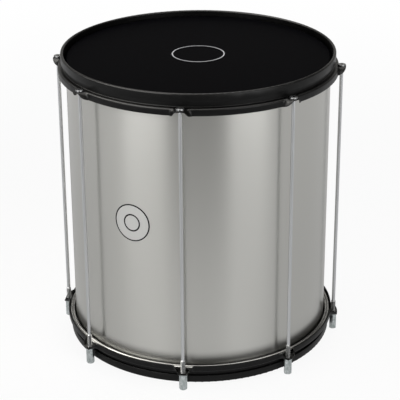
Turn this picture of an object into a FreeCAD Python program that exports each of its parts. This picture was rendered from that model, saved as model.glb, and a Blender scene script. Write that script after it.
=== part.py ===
import FreeCAD, Part
import math
import os

from FreeCAD import Vector

# A samba surdo: a thin metal shell between two plastic heads. Each head hangs on a flesh hoop,
# and a pressed steel counter hoop bears on that. Eight rods with long hex nuts draw the two
# counter hoops together, and the drum stands on the nuts.
# Millimetres, +Z up. The origin lies under the middle of the drum, in the plane of the nuts' ends.

# Shell
shell_radius = 227.0
shell_wall = 1.2
edge_bend_radius = 4.0
edge_flange_run = 6.0
edge_flange_dip = 35.0

# Heads
head_film = 0.35
head_recess = 9.6
head_seat_clearance = 0.05

# Flesh hoops
flesh_hoop_clearance = 2.4
flesh_hoop_width = 8.0
flesh_hoop_height = 7.0
flesh_hoop_chamfer = 0.9
flesh_hoop_lip = 0.8
flesh_groove_width = 2.0
flesh_groove_depth = 0.7
film_grip_depth = 4.5

# Counter hoops
rim_to_rim = 520.0
hoop_sheet = 1.8
hoop_bore_clearance = 3.2
rim_fold_gap = 1.6
apron_depth = 13.6
neck_bend_radius = 2.1
shoulder_depth = 23.0
skirt_bend_radius = 2.4
skirt_depth = 35.0
skirt_clearance = 1.4

# Ears, where the skirt is pressed out flat to take a rod
ear_count = 8
ear_tip_margin = 7.5
ear_flat_width = 11.0
ear_sweep_width = 40.0
ear_hole_clearance = 0.35
ear_sweep_steps = 4

# Tension rods
rod_stand_off = 18.0
shank_radius = 3.0
thread_radius = 4.0
thread_taper = 2.0
thread_above_ear = 25.0
thread_tip_chamfer = 0.8
rod_end_inset = 6.0
rod_head_radius = 7.0
rod_head_height = 2.8
rod_head_chamfer = 0.9
socket_across_flats = 4.0
socket_depth = 1.8

# Washers and nuts
washer_radius = 7.5
washer_thickness = 1.6
washer_clearance = 0.25
nut_across_flats = 12.0
nut_length = 28.0
nut_chamfer_height = 1.0
nut_face_radius = 5.6
nut_running_clearance = 0.05
nut_mouth_chamfer = 0.5

# Badge, a round foil stuck to the shell between two rods
badge_radius = 33.0
badge_foil = 0.4
badge_below_rim = 236.6

# Construction values
overrun = 1.0
full_turn = 360.0
right_angle = 90.0
front_angle = -90.0
hex_sides = 6

# Levels
bottom_rim_level = nut_length + washer_thickness - shoulder_depth
top_rim_level = bottom_rim_level + rim_to_rim
middle_level = bottom_rim_level + rim_to_rim / 2
top_ear_level = top_rim_level - shoulder_depth
bottom_ear_level = bottom_rim_level + shoulder_depth
shoulder_line_level = top_ear_level - hoop_sheet / 2
flesh_top_level = top_ear_level - hoop_sheet
shell_height = rim_to_rim - 2 * (head_recess + head_film + head_seat_clearance)
shell_top_level = middle_level + shell_height / 2

# Radii
rod_circle_radius = shell_radius + rod_stand_off
ear_tip_radius = rod_circle_radius + ear_tip_margin
flesh_bore_radius = shell_radius + flesh_hoop_clearance
flesh_outer_radius = flesh_bore_radius + flesh_hoop_width
inner_wall_line = shell_radius + hoop_bore_clearance + hoop_sheet / 2
apron_line = inner_wall_line + hoop_sheet + rim_fold_gap
crest_radius = (apron_line - inner_wall_line) / 2
skirt_line = flesh_outer_radius + skirt_clearance + hoop_sheet / 2
shoulder_start_radius = inner_wall_line + neck_bend_radius
shoulder_end_radius = skirt_line - skirt_bend_radius

pitch_angle = full_turn / ear_count


def in_plane(radius, level, angle):
    """The point at this radius and level, in the half plane through the axis at this angle."""
    turned = math.radians(angle)
    return Vector(radius * math.cos(turned), radius * math.sin(turned), level)


def step(point, heading, length):
    turned = math.radians(heading)
    return (point[0] + length * math.cos(turned), point[1] + length * math.sin(turned))


def strip(start, heading, moves, thickness, angle=0.0):
    """Closed outline of a bent strip of sheet, cut by the half plane at this angle.

    The moves run along the middle of the sheet. A move is a length and a turn in degrees, left
    being positive: with no turn it is straight, else it is an arc of that length.
    """
    sides = {1: [], -1: []}
    point = start
    for length, turn in moves:
        if turn:
            radius = length / math.radians(abs(turn))
            hand = math.copysign(1, turn)
            centre = step(point, heading + hand * right_angle, radius)
        for side, edges in sides.items():
            if turn:
                reach = radius - hand * side * thickness / 2
                ends = []
                for share in (0, 0.5, 1):
                    bearing = heading + turn * share - hand * right_angle
                    ends.append(in_plane(*step(centre, bearing, reach), angle))
                edges.append(Part.Arc(*ends).toShape())
            else:
                near = step(point, heading + side * right_angle, thickness / 2)
                far = step(near, heading, length)
                edges.append(Part.makeLine(in_plane(*near, angle), in_plane(*far, angle)))
        if turn:
            heading += turn
            point = step(centre, heading - hand * right_angle, radius)
        else:
            point = step(point, heading, length)
    left, right = sides[1], sides[-1]
    end_cap = Part.makeLine(left[-1].lastVertex().Point, right[-1].lastVertex().Point)
    start_cap = Part.makeLine(right[0].firstVertex().Point, left[0].firstVertex().Point)
    return Part.Wire(Part.__sortEdges__(left + [end_cap] + right + [start_cap]))


def spin(wire, angle=full_turn):
    """Solid swept by this outline about the drum's axis."""
    return Part.Face(wire).revolve(Vector(0, 0, 0), Vector(0, 0, 1), angle)


def outline(points, angle=0.0):
    """Closed straight-sided outline through (radius, level) points."""
    corners = [in_plane(radius, level, angle) for radius, level in points]
    return Part.makePolygon(corners + corners[:1])


def turned_piece(points, base):
    """Solid of revolution of (radius, level) points about a vertical line through the base."""
    solid = spin(outline(points))
    solid.translate(base)
    return solid


def hex_corner_radius(across_flats):
    return across_flats / 2 / math.cos(math.pi / hex_sides)


def hexagon(across_flats, height, base, turn=0.0):
    """Upright hex prism with one flat facing this turn."""
    corners = []
    for side in range(hex_sides + 1):
        bearing = math.radians(turn + (side + 0.5) * full_turn / hex_sides)
        direction = Vector(math.cos(bearing), math.sin(bearing), 0)
        corners.append(base + direction * hex_corner_radius(across_flats))
    return Part.Face(Part.makePolygon(corners)).extrude(Vector(0, 0, height))


def flipped(solid):
    """The same piece at the other end of the drum."""
    return solid.mirror(Vector(0, 0, middle_level), Vector(0, 0, 1))


def bend_length(radius, turn):
    return radius * math.radians(abs(turn))


def make_shell():
    """One rolled sheet whose two ends are turned in over themselves as bearing edges."""
    bend = edge_bend_radius - shell_wall / 2
    turn = edge_flange_dip + right_angle
    centre = (shell_radius - edge_bend_radius, shell_top_level - edge_bend_radius)
    bend_start = step(centre, edge_flange_dip + right_angle, bend)
    start = step(bend_start, edge_flange_dip, -edge_flange_run)
    moves = [
        (edge_flange_run, 0),
        (bend_length(bend, turn), -turn),
        (shell_height - 2 * edge_bend_radius, 0),
        (bend_length(bend, turn), -turn),
        (edge_flange_run, 0),
    ]
    return spin(strip(start, edge_flange_dip, moves, shell_wall))


def head_strip(thickness):
    """Outline of half a head: flat to the bearing edge, then over it and down into its hoop."""
    film_line = shell_top_level + head_seat_clearance + head_film / 2
    bend = edge_bend_radius + head_seat_clearance + head_film / 2
    bend_radius = shell_radius - edge_bend_radius
    grip_radius = flesh_bore_radius + flesh_hoop_lip + head_seat_clearance + head_film / 2
    across = grip_radius - bend_radius
    down = shell_top_level - edge_bend_radius - flesh_top_level
    reach = math.hypot(across, down)
    lean = math.degrees(math.atan2(across, down) - math.asin(bend / reach))
    collar = math.sqrt(reach**2 - bend**2)
    turn = right_angle - lean
    moves = [
        (bend_radius, 0),
        (bend_length(bend, turn), -turn),
        (collar + film_grip_depth, 0),
    ]
    return strip((0, film_line), 0, moves, thickness)


def make_head():
    return spin(head_strip(head_film))


def make_flesh_hoop():
    """Metal ring that grips the film's edge in a slot, with a rolled groove in its free face."""
    top = flesh_top_level
    bottom = flesh_top_level - flesh_hoop_height
    middle = (flesh_bore_radius + flesh_outer_radius) / 2
    half_groove = flesh_groove_width / 2
    chamfer = flesh_hoop_chamfer
    ring = spin(
        outline(
            [
                (flesh_bore_radius, top),
                (flesh_outer_radius - chamfer, top),
                (flesh_outer_radius, top - chamfer),
                (flesh_outer_radius, bottom + chamfer),
                (flesh_outer_radius - chamfer, bottom),
                (middle + half_groove, bottom),
                (middle, bottom + flesh_groove_depth),
                (middle - half_groove, bottom),
                (flesh_bore_radius + chamfer, bottom),
                (flesh_bore_radius, bottom + chamfer),
            ]
        )
    )
    return ring.cut(spin(head_strip(head_film + 2 * head_seat_clearance)))


def make_rim():
    """The top counter hoop's folded rim, neck and shoulder, the same all the way round."""
    crest_centre_level = top_rim_level - crest_radius - hoop_sheet / 2
    apron_end_level = top_rim_level - apron_depth
    moves = [
        (crest_centre_level - apron_end_level, 0),
        (bend_length(crest_radius, right_angle), right_angle),
        (bend_length(crest_radius, right_angle), right_angle),
        (crest_centre_level - shoulder_line_level - neck_bend_radius, 0),
        (bend_length(neck_bend_radius, right_angle), right_angle),
        (shoulder_end_radius - shoulder_start_radius, 0),
    ]
    return spin(strip((apron_line, apron_end_level), right_angle, moves, hoop_sheet))


def skirt_section(angle, lift):
    """Section of the skirt at this angle, from halfway along the shoulder to its free edge.

    Lift goes from 0 where the skirt hangs straight down to 1 where it is an ear.
    """
    start_radius = (shoulder_start_radius + shoulder_end_radius) / 2
    bend = bend_length(skirt_bend_radius, right_angle)
    skirt_run = shoulder_line_level - skirt_bend_radius - (top_rim_level - skirt_depth)
    ear_run = ear_tip_radius - shoulder_end_radius - bend
    moves = [
        (shoulder_end_radius - start_radius, 0),
        (bend, -right_angle * (1 - lift)),
        (skirt_run + (ear_run - skirt_run) * lift, 0),
    ]
    return strip((start_radius, shoulder_line_level), 0, moves, hoop_sheet, angle)


def eased(share):
    """Smooth rise from 0 to 1."""
    return share * share * (3 - 2 * share)


def ear_sweep(from_angle, to_angle):
    """The stretch of skirt beside an ear, where it swings up level."""
    sections = []
    for number in range(ear_sweep_steps + 1):
        share = number / ear_sweep_steps
        angle = from_angle + (to_angle - from_angle) * share
        sections.append(skirt_section(angle, eased(share)))
    return Part.makeLoft(sections, True, False)


def make_top_hoop():
    """Counter hoop pressed from one strip of steel: its rim, and the skirt with its ears."""
    flat_half_angle = math.degrees(ear_flat_width / 2 / rod_circle_radius)
    sweep_half_angle = math.degrees(ear_sweep_width / 2 / rod_circle_radius)
    skirt = []
    for number in range(ear_count):
        ear = front_angle + number * pitch_angle
        skirt.append(spin(skirt_section(ear - flat_half_angle, 1), 2 * flat_half_angle))
        skirt.append(ear_sweep(ear - sweep_half_angle, ear - flat_half_angle))
        skirt.append(ear_sweep(ear + sweep_half_angle, ear + flat_half_angle))
        plain = skirt_section(ear + sweep_half_angle, 0)
        skirt.append(spin(plain, pitch_angle - 2 * sweep_half_angle))
    holes = [ear_hole(number) for number in range(ear_count)]
    return make_rim().fuse(skirt).cut(holes).removeSplitter()


def rod_base(number, level=0.0):
    """Point on the axis of one of the rods, number 0 being the one in front."""
    return in_plane(rod_circle_radius, level, front_angle + number * pitch_angle)


def ear_hole(number):
    base = rod_base(number, top_ear_level - hoop_sheet - overrun)
    return Part.makeCylinder(
        thread_radius + ear_hole_clearance, hoop_sheet + 2 * overrun, base
    )


def make_tension_rod(number):
    """Headed rod with a thinner shank and a threaded lower end, dropped in from above."""
    end_level = rod_end_inset
    thread_top_level = bottom_ear_level + hoop_sheet + thread_above_ear
    head_top_level = top_ear_level + rod_head_height
    points = [
        (0, end_level),
        (thread_radius - thread_tip_chamfer, end_level),
        (thread_radius, end_level + thread_tip_chamfer),
        (thread_radius, thread_top_level - thread_taper),
        (shank_radius, thread_top_level),
        (shank_radius, top_ear_level),
        (rod_head_radius, top_ear_level),
        (rod_head_radius, head_top_level - rod_head_chamfer),
        (rod_head_radius - rod_head_chamfer, head_top_level),
        (0, head_top_level),
    ]
    rod = turned_piece(points, rod_base(number))
    socket_base = rod_base(number, head_top_level - socket_depth)
    socket = hexagon(socket_across_flats, socket_depth + overrun, socket_base)
    return rod.cut(socket)


def make_washer(number):
    base = rod_base(number, bottom_ear_level - washer_thickness)
    disc = Part.makeCylinder(washer_radius, washer_thickness, base)
    hole_radius = thread_radius + washer_clearance
    return disc.cut(Part.makeCylinder(hole_radius, washer_thickness, base))


def make_tension_nut(number):
    """Long hex nut, chamfered at both ends, one flat facing out from the drum."""
    turn = front_angle + number * pitch_angle
    prism = hexagon(nut_across_flats, nut_length, rod_base(number), turn)
    corner_radius = hex_corner_radius(nut_across_flats)
    wide = corner_radius + overrun
    slope = nut_chamfer_height / (corner_radius - nut_face_radius)
    chamfer = (wide - nut_face_radius) * slope
    envelope = turned_piece(
        [
            (0, 0),
            (nut_face_radius, 0),
            (wide, chamfer),
            (wide, nut_length - chamfer),
            (nut_face_radius, nut_length),
            (0, nut_length),
        ],
        rod_base(number),
    )
    bore_radius = thread_radius + nut_running_clearance
    mouth_radius = bore_radius + nut_mouth_chamfer
    bore = turned_piece(
        [
            (0, 0),
            (mouth_radius, 0),
            (bore_radius, nut_mouth_chamfer),
            (bore_radius, nut_length),
            (0, nut_length),
        ],
        rod_base(number),
    )
    return prism.common(envelope).cut(bore)


def make_badge():
    """Round foil that follows the curve of the shell, midway between two rods."""
    angle = front_angle - pitch_angle / 2
    centre = in_plane(0, top_rim_level - badge_below_rim, angle)
    outward = in_plane(1, 0, angle)
    reach = shell_radius + badge_foil + overrun
    punch = Part.makeCylinder(badge_radius, reach, centre, outward)
    low = centre - Vector(0, 0, badge_radius + overrun)
    height = 2 * (badge_radius + overrun)
    foil = Part.makeCylinder(shell_radius + badge_foil, height, low)
    return foil.cut(Part.makeCylinder(shell_radius, height, low)).common(punch)


def make_parts():
    top_hoop = make_top_hoop()
    top_head = make_head()
    top_flesh_hoop = make_flesh_hoop()
    parts = {
        "shell": make_shell(),
        "top_head": top_head,
        "bottom_head": flipped(top_head),
        "top_flesh_hoop": top_flesh_hoop,
        "bottom_flesh_hoop": flipped(top_flesh_hoop),
        "top_hoop": top_hoop,
        "bottom_hoop": flipped(top_hoop),
        "badge": make_badge(),
    }
    for number in range(ear_count):
        parts[f"tension_rod_{number + 1}"] = make_tension_rod(number)
        parts[f"washer_{number + 1}"] = make_washer(number)
        parts[f"tension_nut_{number + 1}"] = make_tension_nut(number)
    return parts


def write_parts(parts):
    os.makedirs("parts", exist_ok=True)
    for name, shape in parts.items():
        shape.exportStep(f"parts/{name}.step")
        print(name, shape.ShapeType, len(shape.Solids), shape.isValid(), round(shape.Volume))


write_parts(make_parts())
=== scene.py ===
import math

import bpy
from mathutils import Matrix, Vector


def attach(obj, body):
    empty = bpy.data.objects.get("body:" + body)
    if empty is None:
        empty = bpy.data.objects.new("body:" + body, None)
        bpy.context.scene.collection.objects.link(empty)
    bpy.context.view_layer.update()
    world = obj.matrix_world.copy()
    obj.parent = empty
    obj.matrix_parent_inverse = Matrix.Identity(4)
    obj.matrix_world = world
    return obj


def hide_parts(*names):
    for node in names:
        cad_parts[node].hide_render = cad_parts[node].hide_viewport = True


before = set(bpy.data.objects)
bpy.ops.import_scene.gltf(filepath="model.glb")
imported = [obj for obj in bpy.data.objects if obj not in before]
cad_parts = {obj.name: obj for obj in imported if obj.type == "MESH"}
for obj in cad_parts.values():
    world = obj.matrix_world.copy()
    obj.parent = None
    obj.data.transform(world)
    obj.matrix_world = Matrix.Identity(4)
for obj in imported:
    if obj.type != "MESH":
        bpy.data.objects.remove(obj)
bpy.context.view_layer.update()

# Camera, fitted to the rims and shoulders in the photograph
camera_lens = 129.67
camera_sensor = 36.0
camera_distance = 2.3592
camera_height = 1.2761
camera_sideways = 0.0015
camera_azimuth = math.radians(6.785)
camera_pitch = math.radians(23.64)
camera_roll = math.radians(-0.349)

# A facing is 1 straight towards an azimuth and -1 straight away from it, and a height is 1
# straight up and 0 level. A pair of them, or of reaches on the floor, is where a change starts
# and where it ends.

# Floor: white to the camera, and in reflections this bright near the drum and far off
floor_radius = 9.0
floor_sides = 96
floor_colour = (0.86, 0.86, 0.86)
floor_glow_near = 0.92
floor_white_reach = (0.7, 2.4)
floor_near_side = 0.55
floor_near_front = 0.64
floor_near_facing = (0.8, 1.0)
floor_far_side = 0.66
floor_far_front = 0.2
floor_far_facing = (0.3, 0.95)
floor_far_reach = (0.5, 1.8)

# Studio, which only reflections see: walls, a ceiling and a bright panel high on the left
ambient_colour = (0.25, 0.25, 0.25)
room_colour = (1.0, 0.975, 0.93)
room_side = 0.4
room_front = 0.56
room_front_facing = (0.2, 0.9)
room_front_above = 0.06
room_front_height = (0.15, 0.45)
room_back = 0.6
room_back_facing = (-0.95, -0.5)
room_back_height = (0.45, 0.7)
ceiling_strength = 3.2
ceiling_height = (0.7, 0.82)
panel_strength = 11.0
panel_azimuth = -75
panel_facing = (0.55, 0.85)
panel_foot_height = (0.34, 0.58)
panel_head_height = (0.75, 0.9)
lamp_target_level = 0.25

# Rods and threads, on the eight places of the frame's rods
rod_count = 8
rod_circle = 0.245
rod_sides = 36
shank_radius = 0.003
thread_core_radius = 0.00323
thread_crest_radius = 0.004
thread_crest_width = 0.00018
thread_root_radius = shank_radius - 0.0002
thread_flank_slope = math.tan(math.radians(30))
thread_pitch = 0.00125
thread_steps = 24
thread_low = 0.006
thread_end_chamfer = 0.0003
thread_high = 0.0564
thread_runout = 0.002
thread_runout_slope = 0.5
thread_runout_radius = shank_radius - 0.0001
thread_first_turn = 0.0066
thread_turns = 39
rod_head_radius = 0.007
rod_head_under = 0.5036
rod_head_top = 0.5064
rod_head_fillet = 0.0006
rod_head_lower_edge = 0.0002
rod_head_upper_edge = 0.0009
rod_head_upper_edge_middle = 0.00027
rod_head_shade_length = 0.001
socket_flat_radius = 0.002
socket_depth = 0.0018
nut_bore_radius = 0.00405
nut_thread_root_radius = nut_bore_radius + 0.0001
nut_thread_radius = 0.00345
nut_thread_width = 0.0003
nut_thread_turns = 21
nut_turns_below_rod_thread = 4.5
nut_first_turn = thread_first_turn - nut_turns_below_rod_thread * thread_pitch

# Heads: the film's section at the top, where it bends over the shell and runs down to its hoop
film_top = 0.517
film_under = 0.51665
film_flat_radius = 0.223
film_flat_margin = 0.0005
film_bend_level = 0.5126
film_bend_lean = math.radians(15.69)
film_bend_steps = 10
film_collar_end = [(0.23181, 0.49752), (0.23147, 0.49742)]
film_sides = 288
drum_middle = 0.2666

# Distances within which points are merged, along a seam, in a film and in a hoop
seam_merge = 0.000001
film_merge = 0.000002
hoop_merge = 0.00001

# Printed rings
film_ring_radius = 0.0443
film_ring_half_width = 0.001
badge_angle = math.radians(-112.5)
badge_level = 0.29
badge_curve_radius = 0.2274
badge_rim_ring_radius = 0.0323
badge_rim_ring_half_width = 0.0015
badge_inner_ring_radius = 0.0143
badge_inner_ring_half_width = 0.0013

# Colours, and the share of them that is left where shade is painted into them
white = (1.0, 1.0, 1.0, 1.0)
shell_colour = (0.59, 0.587, 0.56)
# Painted shade on the shell: the share of colour left just above the bottom hoop, and the levels of
# that band
painted_foot_shade_share = 0.5
painted_foot_shade_levels = (0.044, 0.064)
paint_colour = (0.0015, 0.0015, 0.0015)
film_colour = (0.001, 0.001, 0.0014)
film_ink = (0.7, 0.7, 0.72)
# Flesh hoops' metal, darkened as painted shade for the shaded gap they sit in
ring_colour_with_painted_shade = (0.24, 0.24, 0.235)
rod_colour = (0.6, 0.61, 0.62)
# Painted shade on the rods: the share of colour left on the pressed head and on the thread
rod_head_painted_shade_share = 0.33
rod_thread_painted_shade_share = 0.4
zinc_colour = (0.52, 0.56, 0.56)
zinc_dark = (0.4, 0.45, 0.44, 1.0)
zinc_pale = (0.62, 0.65, 0.66, 1.0)
zinc_mottle = (0.35, 0.65)
foil_colour = (0.6, 0.6, 0.585)
foil_ink = (0.01, 0.01, 0.01)
grain_middle = (0.3, 0.7)


def add_node(tree, kind, settings=None, **inputs):
    """A shader node. An input goes by its name, with _ for a space, or by its number after a _.
    It is given a value, or another node's socket to link."""
    made = tree.nodes.new(kind)
    for name, value in (settings or {}).items():
        setattr(made, name, value)
    for name, value in inputs.items():
        key = int(name[1:]) if name[0] == "_" else name.replace("_", " ")
        if isinstance(value, bpy.types.NodeSocket):
            tree.links.new(value, made.inputs[key])
        else:
            made.inputs[key].default_value = value
    return made


def math_node(tree, operation, first, second=0.0):
    return add_node(
        tree, "ShaderNodeMath", {"operation": operation}, _0=first, _1=second
    ).outputs[0]


def vector_node(tree, operation, first, second=(0.0, 0.0, 0.0)):
    made = add_node(tree, "ShaderNodeVectorMath", {"operation": operation}, _0=first, _1=second)
    return made.outputs["Value" if operation in ("LENGTH", "DOT_PRODUCT") else "Vector"]


def soft_step(tree, value, span, first=0.0, last=1.0):
    """Smooth change from first to last as the value goes over the span."""
    return add_node(
        tree,
        "ShaderNodeMapRange",
        {"interpolation_type": "SMOOTHSTEP"},
        Value=value,
        From_Min=span[0],
        From_Max=span[1],
        To_Min=first,
        To_Max=last,
    ).outputs[0]


def blend(tree, share, first, last):
    """The value that is this share of the way from first to last."""
    return add_node(
        tree, "ShaderNodeMix", {"data_type": "FLOAT"}, Factor=share, A=first, B=last
    ).outputs[0]


def blend_shaders(tree, share, first, last):
    return add_node(
        tree, "ShaderNodeMixShader", _0=share, _1=first.outputs[0], _2=last.outputs[0]
    )


def new_material(name, colour, roughness, metallic=0.0, **sockets):
    """A material with one Principled shader, set by plain values."""
    material = bpy.data.materials.new(name)
    material.use_nodes = True
    shader = material.node_tree.nodes["Principled BSDF"]
    shader.inputs["Base Color"].default_value = (*colour, 1.0)
    shader.inputs["Roughness"].default_value = roughness
    shader.inputs["Metallic"].default_value = metallic
    for name, value in sockets.items():
        shader.inputs[name.replace("_", " ")].default_value = value
    return material, material.node_tree, shader


def object_coordinates(tree):
    return add_node(tree, "ShaderNodeTexCoord").outputs["Object"]


def level_of(tree):
    return add_node(tree, "ShaderNodeSeparateXYZ", Vector=object_coordinates(tree)).outputs["Z"]


def flattened(tree, place):
    return vector_node(tree, "MULTIPLY", place, (1.0, 1.0, 0.0))


def grain(tree, scale, detail=2.0):
    """Fine noise on the object's own coordinates, stretched by a scale for each axis."""
    stretched = add_node(
        tree, "ShaderNodeMapping", Vector=object_coordinates(tree), Scale=scale
    )
    return add_node(
        tree, "ShaderNodeTexNoise", Vector=stretched.outputs[0], Scale=1.0, Detail=detail
    ).outputs["Fac"]


def raise_grain(tree, shader, height, strength, distance):
    bump = add_node(tree, "ShaderNodeBump", Strength=strength, Distance=distance, Height=height)
    tree.links.new(bump.outputs[0], shader.inputs["Normal"])


def roughen(tree, shader, height, strength, distance, roughness):
    """Bump from this grain, and a roughness that wanders with it between two values."""
    raise_grain(tree, shader, height, strength, distance)
    wander = soft_step(tree, height, grain_middle, *roughness)
    tree.links.new(wander, shader.inputs["Roughness"])


def brush_round(tree, shader):
    """Run the brushing round the drum's axis, so that highlights are drawn out up and down."""
    tangent = add_node(tree, "ShaderNodeTangent", {"direction_type": "RADIAL", "axis": "Z"})
    tree.links.new(tangent.outputs[0], shader.inputs["Tangent"])


def scale_colour(tree, shader, colour, share):
    """Make the base colour this share of the given colour."""
    scaled = add_node(tree, "ShaderNodeVectorMath", {"operation": "SCALE"}, _0=colour, Scale=share)
    tree.links.new(scaled.outputs[0], shader.inputs["Base Color"])


def print_rings(tree, shader, bare, ink, rings, reach):
    """Print rings, each a (radius, half width), in ink on a bare colour; reach is the distance
    from their centre."""
    share = 0.0
    for radius, half_width in rings:
        ring = add_node(
            tree, "ShaderNodeMath", {"operation": "COMPARE"}, _0=reach, _1=radius, _2=half_width
        )
        share = math_node(tree, "MAXIMUM", ring.outputs[0], share)
    # The node takes its two colours at inputs 6 and 7 and gives their mix at output 2
    mix = add_node(
        tree, "ShaderNodeMix", {"data_type": "RGBA"}, _0=share, _6=(*bare, 1.0), _7=(*ink, 1.0)
    )
    tree.links.new(mix.outputs[2], shader.inputs["Base Color"])


def brushed_shell_metal():
    """Metal brushed in fine level lines round the shell, with painted shade darkening it just above
    the bottom hoop.
    """
    material, tree, shader = new_material(
        "brushed shell metal",
        shell_colour,
        roughness=0.29,
        metallic=1.0,
        Anisotropic=0.72,
        Anisotropic_Rotation=0.25,
    )
    brush_round(tree, shader)
    lines = grain(tree, scale=(5.0, 5.0, 1600.0), detail=3.0)
    raise_grain(tree, shader, lines, strength=0.12, distance=0.0001)
    # Painted shade: the base colour darkens over a band just above the bottom hoop, where the hoop
    # shades the shell
    share = soft_step(tree, level_of(tree), painted_foot_shade_levels, painted_foot_shade_share, 1.0)
    scale_colour(tree, shader, shell_colour, share)
    return material


def black_powder_coat():
    material, tree, shader = new_material(
        "black powder coat", paint_colour, roughness=0.36, Specular_IOR_Level=0.21
    )
    specks = grain(tree, scale=(120, 120, 120))
    roughen(tree, shader, specks, strength=0.02, distance=0.00005, roughness=(0.34, 0.38))
    return material


def black_film(rings):
    """Thin coated plastic, with rings printed round its middle."""
    material, tree, shader = new_material(
        "black head film", film_colour, roughness=0.42, Specular_IOR_Level=0.003
    )
    specks = grain(tree, scale=(1500, 1500, 1500))
    roughen(tree, shader, specks, strength=0.08, distance=0.00003, roughness=(0.38, 0.48))
    if rings:
        reach = vector_node(tree, "LENGTH", flattened(tree, object_coordinates(tree)))
        print_rings(tree, shader, film_colour, film_ink, rings, reach)
    return material


def rolled_ring_metal():
    """Metal rolled lengthways round the drum, its colour darkened as painted shade for the shaded
    gap between shell and hoop.
    """
    material, tree, shader = new_material(
        "rolled ring metal", ring_colour_with_painted_shade, roughness=0.3, metallic=1.0, Anisotropic=0.5
    )
    brush_round(tree, shader)
    lines = grain(tree, scale=(40, 40, 2500))
    roughen(tree, shader, lines, strength=0.1, distance=0.00004, roughness=(0.26, 0.36))
    return material


def plated_rod_steel():
    """Bright plating over steel drawn lengthways, with painted shade darkening the colour on the
    pressed head and on the thread.
    """
    material, tree, shader = new_material(
        "plated rod steel", rod_colour, roughness=0.32, metallic=1.0
    )
    level = level_of(tree)
    # Painted shade: the base colour is cut to a share on the pressed head and on the thread,
    # standing in for less light there
    under_head = (rod_head_under - rod_head_shade_length, rod_head_under)
    above_thread = (thread_high - thread_runout, thread_high)
    head = soft_step(tree, level, under_head, 1.0, rod_head_painted_shade_share)
    thread = soft_step(tree, level, above_thread, rod_thread_painted_shade_share, 1.0)
    scale_colour(tree, shader, rod_colour, math_node(tree, "MULTIPLY", head, thread))
    lines = grain(tree, scale=(1800, 1800, 25))
    roughen(tree, shader, lines, strength=0.1, distance=0.00003, roughness=(0.28, 0.38))
    return material


def zinc_plate():
    """Pale passivated zinc, faintly mottled green and grey."""
    material, tree, shader = new_material(
        "zinc plate", zinc_colour, roughness=0.42, metallic=1.0
    )
    mottle = grain(tree, scale=(260, 260, 260), detail=4.0)
    roughen(tree, shader, mottle, strength=0.15, distance=0.00006, roughness=(0.34, 0.5))
    tones = add_node(tree, "ShaderNodeValToRGB", Fac=mottle)
    dark, pale = tones.color_ramp.elements
    dark.position, pale.position = zinc_mottle
    dark.color, pale.color = zinc_dark, zinc_pale
    tree.links.new(tones.outputs[0], shader.inputs["Base Color"])
    return material


def badge_foil():
    """Satin foil printed with a ring at its edge and one round its middle."""
    material, tree, shader = new_material("badge foil", foil_colour, roughness=0.45, metallic=0.8)
    turned = add_node(
        tree, "ShaderNodeMapping", Vector=object_coordinates(tree), Rotation=(0, 0, -badge_angle)
    )
    place = add_node(tree, "ShaderNodeSeparateXYZ", Vector=turned.outputs[0])
    bearing = math_node(tree, "ARCTAN2", place.outputs["Y"], place.outputs["X"])
    along = math_node(tree, "MULTIPLY", bearing, badge_curve_radius)
    up = math_node(tree, "SUBTRACT", place.outputs["Z"], badge_level)
    flat = add_node(tree, "ShaderNodeCombineXYZ", X=along, Y=up)
    rings = [
        (badge_rim_ring_radius, badge_rim_ring_half_width),
        (badge_inner_ring_radius, badge_inner_ring_half_width),
    ]
    reach = vector_node(tree, "LENGTH", flat.outputs[0])
    print_rings(tree, shader, foil_colour, foil_ink, rings, reach)
    return material


def finish_edit(piece, smooth_up_to):
    """Turn the faces outwards, end the edit and shade the piece smooth up to an angle in degrees."""
    bpy.ops.mesh.select_all(action="SELECT")
    bpy.ops.mesh.normals_make_consistent(inside=False)
    bpy.ops.object.mode_set(mode="OBJECT")
    bpy.ops.object.shade_smooth_by_angle(angle=math.radians(smooth_up_to))
    return piece


def draw_outline(name, corners):
    """A closed outline through (reach, level) corners, in the upright plane through +X."""
    bpy.ops.object.select_all(action="DESELECT")
    bpy.ops.mesh.primitive_circle_add(vertices=len(corners))
    outline = bpy.context.active_object
    outline.name = name
    for vertex, (reach, level) in zip(outline.data.vertices, corners):
        vertex.co = (reach, 0, level)
    return outline


def round_bar(name, sides, stations):
    """A bar on the upright axis, drawn up from a disc through (radius, level) stations."""
    bpy.ops.object.select_all(action="DESELECT")
    radius, level = stations[0]
    bpy.ops.mesh.primitive_circle_add(
        vertices=sides, radius=radius, fill_type="NGON", location=(0, 0, level)
    )
    bar = bpy.context.active_object
    bar.name = name
    bpy.ops.object.transform_apply(location=True)
    bpy.ops.object.mode_set(mode="EDIT")
    bpy.ops.mesh.select_all(action="SELECT")
    for next_radius, next_level in stations[1:]:
        grow = next_radius / radius
        bpy.ops.mesh.extrude_region_move(
            TRANSFORM_OT_translate={"value": (0, 0, next_level - level)}
        )
        bpy.ops.transform.resize(value=(grow, grow, 1), center_override=(0, 0, next_level))
        radius, level = next_radius, next_level
    return bar


def sink_hex_socket(bar, flat_radius, depth):
    """Press a hex socket into the top face, which is selected."""
    bpy.ops.mesh.inset(thickness=rod_head_radius / 2)
    bpy.ops.object.mode_set(mode="OBJECT")
    sixth = math.radians(60)
    for vertex in bar.data.vertices:
        if vertex.select:
            angle = math.atan2(vertex.co.y, vertex.co.x)
            reach = flat_radius / math.cos((angle + sixth / 2) % sixth - sixth / 2)
            vertex.co.x, vertex.co.y = reach * math.cos(angle), reach * math.sin(angle)
    bpy.ops.object.mode_set(mode="EDIT")
    bpy.ops.mesh.extrude_region_move(TRANSFORM_OT_translate={"value": (0, 0, -depth)})


def ridge_corners(root, crest, crest_width, first_level):
    """The thread's section, from the root below the crest to the root above it."""
    half = crest_width / 2
    foot = half + thread_flank_slope * abs(crest - root)
    section = [(root, -foot), (crest, -half), (crest, half), (root, foot)]
    return [(reach, first_level + level) for reach, level in section]


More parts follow.
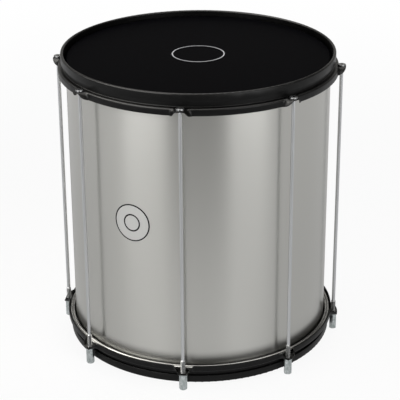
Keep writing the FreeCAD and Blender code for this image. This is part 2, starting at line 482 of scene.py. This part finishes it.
def thread_ridge(name, corners, turns, limit=None):
    """A right-handed ridge wound up the upright axis; limit gives the reach allowed at a level."""
    ridge = draw_outline(name, corners)
    winding = ridge.modifiers.new("winding", "SCREW")
    winding.axis = "Z"
    winding.screw_offset = thread_pitch
    winding.iterations = turns
    winding.steps = winding.render_steps = thread_steps
    bpy.ops.object.modifier_apply(modifier="winding")
    if limit:
        for vertex in ridge.data.vertices:
            reach = math.hypot(vertex.co.x, vertex.co.y)
            kept = min(reach, limit(vertex.co.z)) / reach
            vertex.co.x, vertex.co.y = vertex.co.x * kept, vertex.co.y * kept
    bpy.ops.object.mode_set(mode="EDIT")
    bpy.ops.mesh.select_all(action="SELECT")
    bpy.ops.mesh.fill_holes(sides=len(corners))
    return finish_edit(ridge, smooth_up_to=25)


def rod_thread_limit(level):
    """The thread's end is chamfered, and its last turn runs out into the shank."""
    from_end = thread_core_radius + (level - thread_low)
    from_shank = shank_radius + (thread_high - level) * thread_runout_slope
    return max(min(thread_crest_radius, from_end, from_shank), thread_runout_radius)


def make_first_rod():
    """Tension rod: pressed head with a hex socket, thin shank, rolled thread on the thicker end."""
    rod = round_bar(
        "threaded_rod",
        rod_sides,
        [
            (thread_core_radius - thread_end_chamfer, thread_low),
            (thread_core_radius, thread_low + thread_end_chamfer),
            (thread_core_radius, thread_high - thread_runout),
            (shank_radius, thread_high),
            (shank_radius, rod_head_under - rod_head_fillet),
            (shank_radius + rod_head_fillet, rod_head_under),
            (rod_head_radius - rod_head_lower_edge, rod_head_under),
            (rod_head_radius, rod_head_under + rod_head_lower_edge),
            (rod_head_radius, rod_head_top - rod_head_upper_edge),
            (
                rod_head_radius - rod_head_upper_edge_middle,
                rod_head_top - rod_head_upper_edge_middle,
            ),
            (rod_head_radius - rod_head_upper_edge, rod_head_top),
        ],
    )
    sink_hex_socket(rod, socket_flat_radius, socket_depth)
    finish_edit(rod, smooth_up_to=35)
    corners = ridge_corners(
        thread_root_radius, thread_crest_radius, thread_crest_width, thread_first_turn
    )
    thread_ridge("thread", corners, thread_turns, rod_thread_limit)
    rod.select_set(True)
    bpy.context.view_layer.objects.active = rod
    bpy.ops.object.join()
    return rod


def make_first_nut_thread():
    """The thread inside a nut, half a pitch off the rod's, so that the two mesh."""
    corners = ridge_corners(
        nut_thread_root_radius, nut_thread_radius, nut_thread_width, nut_first_turn
    )
    return thread_ridge("nut_thread", corners, nut_thread_turns)


def place_round_drum(piece, material, body):
    """Set a piece drawn on the axis at the front rod, and a copy at each of the others."""
    piece.data.materials.append(material)
    piece.data.transform(Matrix.Translation((0, -rod_circle, 0)))
    copies = [piece]
    for number in range(1, rod_count):
        copy = piece.copy()
        copy.data = piece.data.copy()
        copy.data.transform(Matrix.Rotation(2 * math.pi * number / rod_count, 4, "Z"))
        bpy.context.scene.collection.objects.link(copy)
        copies.append(copy)
    stem = piece.name
    for number, copy in enumerate(copies, start=1):
        copy.name = f"{stem}_{number}"
        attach(copy, body.format(number))
    return copies


def make_rods_and_threads(plating, zinc):
    rods = place_round_drum(make_first_rod(), plating, "drum")
    for number, rod in enumerate(rods, start=1):
        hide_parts(f"tension_rod_{number}")
    place_round_drum(make_first_nut_thread(), zinc, "nut_{}")


def film_face(level):
    """Half of one face of the film, from its middle to the end of the bend."""
    reach = level - film_bend_level
    points = [(0.0, level), (film_flat_radius - film_flat_margin, level)]
    for number in range(film_bend_steps + 1):
        share = number / film_bend_steps
        angle = math.pi / 2 + (film_bend_lean - math.pi / 2) * share
        points.append(
            (film_flat_radius + reach * math.cos(angle), film_bend_level + reach * math.sin(angle))
        )
    return points


def make_stretched_head(name, film, upside_down):
    """Film spun round the drum's axis, finely enough that the shell's edge stays under it."""
    corners = film_face(film_top) + film_collar_end + film_face(film_under)[::-1]
    if upside_down:
        corners = [(reach, 2 * drum_middle - level) for reach, level in corners]
    head = draw_outline(f"stretched_{name}", corners)
    spin = head.modifiers.new("spin", "SCREW")
    spin.axis = "Z"
    spin.screw_offset = 0.0
    spin.steps = spin.render_steps = film_sides
    spin.use_merge_vertices = True
    spin.merge_threshold = seam_merge
    bpy.ops.object.modifier_apply(modifier="spin")
    bpy.ops.object.mode_set(mode="EDIT")
    bpy.ops.mesh.select_all(action="SELECT")
    bpy.ops.mesh.remove_doubles(threshold=film_merge)
    bpy.ops.mesh.dissolve_degenerate(threshold=seam_merge)
    bpy.ops.mesh.delete_loose(use_verts=True, use_edges=True, use_faces=False)
    finish_edit(head, smooth_up_to=40)
    head.data.materials.append(film)
    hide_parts(name)
    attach(head, "drum")


def make_pressed_hoop(name, paint):
    """The frame's hoop with its faces joined, so that its bends shade as one rolled surface."""
    bpy.ops.object.select_all(action="DESELECT")
    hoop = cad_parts[name].copy()
    hoop.data = hoop.data.copy()
    hoop.name = f"pressed_{name}"
    bpy.context.scene.collection.objects.link(hoop)
    hoop.select_set(True)
    bpy.context.view_layer.objects.active = hoop
    bpy.ops.object.mode_set(mode="EDIT")
    bpy.ops.mesh.select_all(action="SELECT")
    bpy.ops.mesh.remove_doubles(threshold=hoop_merge)
    bpy.ops.object.mode_set(mode="OBJECT")
    bpy.ops.object.shade_smooth_by_angle(angle=math.radians(50))
    weighting = hoop.modifiers.new("flat walls stay flat", "WEIGHTED_NORMAL")
    weighting.keep_sharp = True
    weighting.weight = 100
    bpy.ops.object.modifier_apply(modifier=weighting.name)
    hoop.data.materials.clear()
    hoop.data.materials.append(paint)
    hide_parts(name)
    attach(hoop, "drum")


def dress(prefix, material):
    """Give this material to every frame node whose name starts so."""
    for name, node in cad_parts.items():
        if name.startswith(prefix):
            for slot in node.material_slots:
                slot.material = material


def dress_nodes():
    dress("shell", brushed_shell_metal())
    make_stretched_head(
        "top_head", black_film([(film_ring_radius, film_ring_half_width)]), upside_down=False
    )
    make_stretched_head("bottom_head", black_film([]), upside_down=True)
    paint = black_powder_coat()
    make_pressed_hoop("top_hoop", paint)
    make_pressed_hoop("bottom_hoop", paint)
    ring = rolled_ring_metal()
    dress("top_flesh", ring)
    dress("bottom_flesh", ring)
    dress("badge", badge_foil())
    zinc = zinc_plate()
    dress("washer", zinc)
    dress("tension_nut", zinc)
    make_rods_and_threads(plated_rod_steel(), zinc)


def make_camera():
    sine, cosine = math.sin(camera_azimuth), math.cos(camera_azimuth)
    right = Vector((cosine, sine, 0))
    forward = Vector(
        (-sine * math.cos(camera_pitch), cosine * math.cos(camera_pitch), -math.sin(camera_pitch))
    )
    up = right.cross(forward)
    turned_right = math.cos(camera_roll) * right + math.sin(camera_roll) * up
    turned_up = math.cos(camera_roll) * up - math.sin(camera_roll) * right
    place = Vector(
        (
            camera_sideways * cosine + camera_distance * sine,
            camera_sideways * sine - camera_distance * cosine,
            camera_height,
        )
    )
    camera = bpy.data.objects.new("camera", bpy.data.cameras.new("camera"))
    camera.data.lens = camera_lens
    camera.data.sensor_width = camera_sensor
    turn = Matrix((turned_right, turned_up, -forward)).transposed()
    camera.matrix_world = Matrix.Translation(place) @ turn.to_4x4()
    bpy.context.scene.collection.objects.link(camera)
    bpy.context.scene.camera = camera


def bearing_of(azimuth):
    """The angle about the drum's axis of an azimuth in degrees from the camera's side."""
    return camera_azimuth - math.pi / 2 + math.radians(azimuth)


def make_lamp(name, azimuth, distance, level, width, height, power):
    """A white soft box that faces the middle of the drum."""
    bearing = bearing_of(azimuth)
    place = Vector((distance * math.cos(bearing), distance * math.sin(bearing), level))
    target = Vector((0, 0, lamp_target_level))
    data = bpy.data.lights.new(name, "AREA")
    data.shape = "RECTANGLE"
    data.size = width
    data.size_y = height
    data.energy = power
    lamp = bpy.data.objects.new(name, data)
    lamp.rotation_euler = (target - place).to_track_quat("-Z", "Y").to_euler()
    lamp.location = place
    bpy.context.scene.collection.objects.link(lamp)


def facing_of(tree, place, azimuth):
    """How nearly a place or direction lies towards an azimuth: 1 if it does, -1 if away from it."""
    bearing = bearing_of(azimuth)
    side = (math.cos(bearing), math.sin(bearing), 0.0)
    heading = vector_node(tree, "NORMALIZE", flattened(tree, place))
    return vector_node(tree, "DOT_PRODUCT", heading, side)


def ray_is(tree, *kinds):
    path = add_node(tree, "ShaderNodeLightPath")
    seen = path.outputs[kinds[0]]
    for kind in kinds[1:]:
        seen = math_node(tree, "MAXIMUM", seen, path.outputs[kind])
    return seen


def pale_floor():
    """Shows white, keeps the drum's shadow near it, and turns darker far off in reflections."""
    material, tree, shader = new_material(
        "pale floor", floor_colour, roughness=0.9, Specular_IOR_Level=0.0
    )
    place = object_coordinates(tree)
    reach = vector_node(tree, "LENGTH", place)
    facing = facing_of(tree, place, 0)
    near = soft_step(tree, facing, floor_near_facing, floor_near_side, floor_near_front)
    far = soft_step(tree, facing, floor_far_facing, floor_far_side, floor_far_front)
    mirrored = blend(tree, soft_step(tree, reach, floor_far_reach), near, far)
    strength = blend(tree, ray_is(tree, "Is Glossy Ray"), 1.0, mirrored)
    glow = add_node(tree, "ShaderNodeEmission", Color=white, Strength=strength)
    share = soft_step(tree, reach, floor_white_reach, floor_glow_near, 1.0)
    seen = ray_is(tree, "Is Camera Ray", "Is Glossy Ray", "Is Transmission Ray")
    surface = blend_shaders(tree, math_node(tree, "MULTIPLY", share, seen), shader, glow)
    tree.links.new(surface.outputs[0], tree.nodes["Material Output"].inputs["Surface"])
    return material


def make_floor():
    bpy.ops.object.select_all(action="DESELECT")
    bpy.ops.mesh.primitive_circle_add(
        vertices=floor_sides, radius=floor_radius, fill_type="NGON"
    )
    floor = bpy.context.active_object
    floor.name = "floor"
    floor.data.materials.append(pale_floor())


def room_strength(tree):
    """How bright the studio is in each direction."""
    direction = add_node(tree, "ShaderNodeTexCoord").outputs["Generated"]
    height = add_node(tree, "ShaderNodeSeparateXYZ", Vector=direction).outputs["Z"]
    facing = facing_of(tree, direction, 0)
    front = soft_step(tree, facing, room_front_facing, room_side, room_front)
    front_fade = soft_step(tree, height, room_front_height, 1.0, room_front_above)
    front = math_node(tree, "MULTIPLY", front, front_fade)
    back = soft_step(tree, facing, room_back_facing, room_back, 0.0)
    back_fade = soft_step(tree, height, room_back_height, 1.0, 0.0)
    back = math_node(tree, "MULTIPLY", back, back_fade)
    walls = math_node(tree, "MAXIMUM", front, back)
    ceiling = soft_step(tree, height, ceiling_height, 0.0, ceiling_strength)
    panel_side = facing_of(tree, direction, panel_azimuth)
    panel = soft_step(tree, panel_side, panel_facing, 0.0, panel_strength)
    panel = math_node(tree, "MULTIPLY", panel, soft_step(tree, height, panel_foot_height))
    panel_fade = soft_step(tree, height, panel_head_height, 1.0, 0.0)
    panel = math_node(tree, "MULTIPLY", panel, panel_fade)
    return math_node(tree, "ADD", math_node(tree, "ADD", walls, ceiling), panel)


def make_world():
    """White backdrop, even grey light, and a studio that only reflections see."""
    world = bpy.data.worlds.new("studio")
    world.use_nodes = True
    bpy.context.scene.world = world
    tree = world.node_tree
    ambient = tree.nodes["Background"]
    ambient.inputs["Color"].default_value = (*ambient_colour, 1.0)
    studio = add_node(
        tree, "ShaderNodeBackground", Color=(*room_colour, 1.0), Strength=room_strength(tree)
    )
    backdrop = add_node(tree, "ShaderNodeBackground", Color=white, Strength=1.0)
    lit = blend_shaders(tree, ray_is(tree, "Is Glossy Ray"), ambient, studio)
    seen = ray_is(tree, "Is Camera Ray", "Is Transmission Ray")
    surface = blend_shaders(tree, seen, lit, backdrop)
    tree.links.new(surface.outputs[0], tree.nodes["World Output"].inputs["Surface"])


def make_stage():
    make_floor()
    make_world()
    make_lamp(
        "left soft box", azimuth=-44, distance=2.6, level=0.95, width=1.8, height=1.6, power=29
    )
    make_lamp(
        "right soft box", azimuth=41, distance=2.6, level=0.95, width=1.7, height=1.6, power=31
    )
    make_lamp(
        "top soft box", azimuth=180, distance=0.3, level=2.9, width=2.0, height=1.8, power=24
    )
    bpy.context.scene.view_settings.view_transform = "Standard"


dress_nodes()
make_camera()
make_stage()
